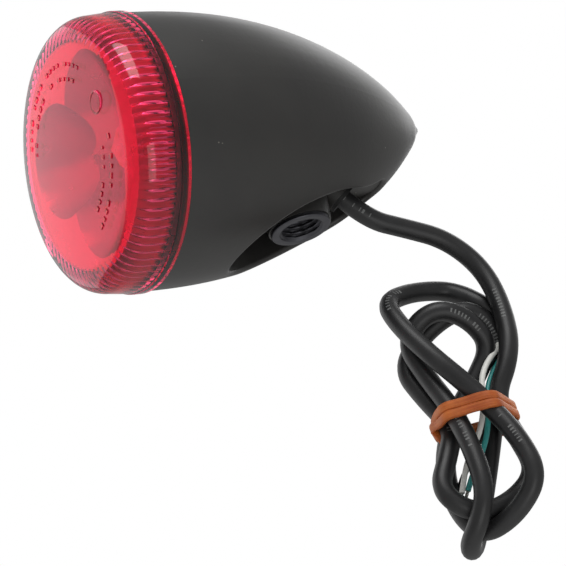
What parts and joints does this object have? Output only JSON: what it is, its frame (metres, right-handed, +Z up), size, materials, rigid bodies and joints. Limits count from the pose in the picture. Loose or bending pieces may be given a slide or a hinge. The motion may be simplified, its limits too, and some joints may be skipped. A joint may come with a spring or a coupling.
{
  "type": "tail light",
  "caption": "Bullet-shaped motorcycle tail light with a ribbed red push-fit lens, a threaded mounting boss in an underside recess and a coiled lead.",
  "frame": {"origin": "centre of the mounting thread's mouth, under the housing", "axes": "+Z up along the mounting thread into the housing, the lens faces -Y and the tail points to +Y"},
  "size_m": [0.063, 0.0954, 0.1398],
  "materials": {
    "housing_paint": "satin black paint",
    "insert_steel": "zinc-plated, dull",
    "lens_red": "clear red plastic, polished",
    "seal_rubber": "matte",
    "reflector_mirror": "metallised plastic",
    "board_laminate": "white solder mask",
    "black_epoxy": "matte",
    "capacitor_can": "satin",
    "carrier_plastic": "moulded",
    "screw_steel": "zinc-plated",
    "cable_pvc": "soft black PVC",
    "tie_nylon": "natural nylon",
    "solder": "bright",
    "band_rubber": "matte orange-brown",
    "led_epoxy": "clear dome on white package",
    "core_white": "PVC",
    "core_green": "PVC",
    "core_black": "PVC"
  },
  "bodies": {
    "lamp": {"housing": "housing_paint", "mount_insert": "insert_steel", "reflector": "reflector_mirror", "led_board": "board_laminate", "driver_chip": "black_epoxy", "resistors": "black_epoxy", "reverse_diode": "black_epoxy", "capacitor": "capacitor_can", "board_carrier": "carrier_plastic", "carrier_screws": "screw_steel", "reflector_screws": "screw_steel", "cable_grommet": "seal_rubber", "cable_inside": "cable_pvc", "cable_tie": "tie_nylon", "solder_joints": "solder", "cable_lead": "cable_pvc", "cable_bundle": "cable_pvc", "rubber_band": "band_rubber", "tinned_ends": "solder", "led_1": "led_epoxy", "led_2": "led_epoxy", "led_3": "led_epoxy", "inner_core_white": "core_white", "inner_core_green": "core_green", "inner_core_black": "core_black", "free_core_white": "core_white", "free_core_green": "core_green", "free_core_black": "core_black"},
    "lens": {"lens": "lens_red", "lens_seal": "seal_rubber"}
  },
  "joints": [
    {"name": "lens_pull", "type": "slide", "parent": "lamp", "child": "lens", "axis": [0, -1, 0], "range_m": [0, 0.018]}
  ]
}
